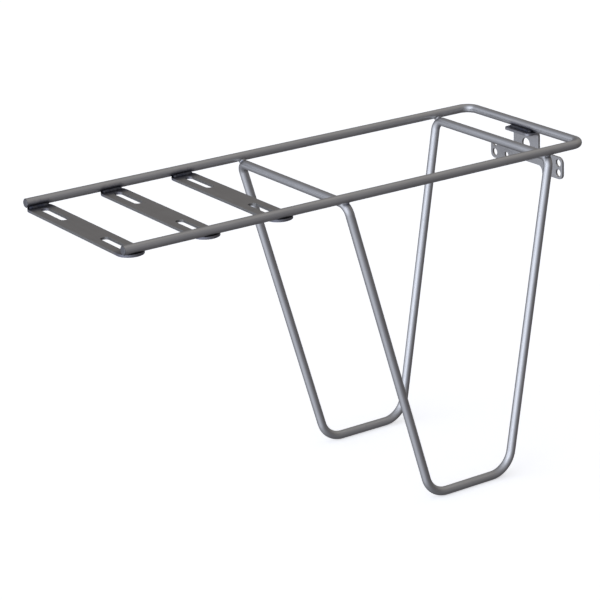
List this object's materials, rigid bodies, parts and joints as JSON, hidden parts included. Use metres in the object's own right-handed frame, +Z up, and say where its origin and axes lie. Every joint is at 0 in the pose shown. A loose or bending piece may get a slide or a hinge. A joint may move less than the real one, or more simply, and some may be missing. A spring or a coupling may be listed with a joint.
{
  "type": "bicycle rear carrier",
  "caption": "Rear luggage carrier for a bicycle, bent and welded from round steel rod, with slotted mounting plates, hanging pannier loops and a lamp bracket.",
  "frame": {"origin": "middle of the middle plate's underside, halfway between its two slots", "axes": "+X to the back of the bicycle, towards the lamp bracket; +Y to its left; +Z up"},
  "size_m": [0.4137, 0.15, 0.262],
  "materials": {
    "rod": "satin, drawn along the rod",
    "plate": "matt rolled sheet",
    "bracket": "matt rolled sheet",
    "weld_metal": "satin, rippled"
  },
  "bodies": {
    "root": {"top_hoop": "rod", "front_arch": "rod", "rear_arch": "rod", "front_plate": "plate", "middle_plate": "plate", "rear_plate": "plate", "lamp_bracket": "bracket", "front_plate_welds": "weld_metal", "middle_plate_welds": "weld_metal", "rear_plate_welds": "weld_metal", "front_arch_welds": "weld_metal", "rear_arch_welds": "weld_metal", "lamp_bracket_weld": "weld_metal", "loop_butt_welds": "weld_metal"}
  },
  "joints": []
}
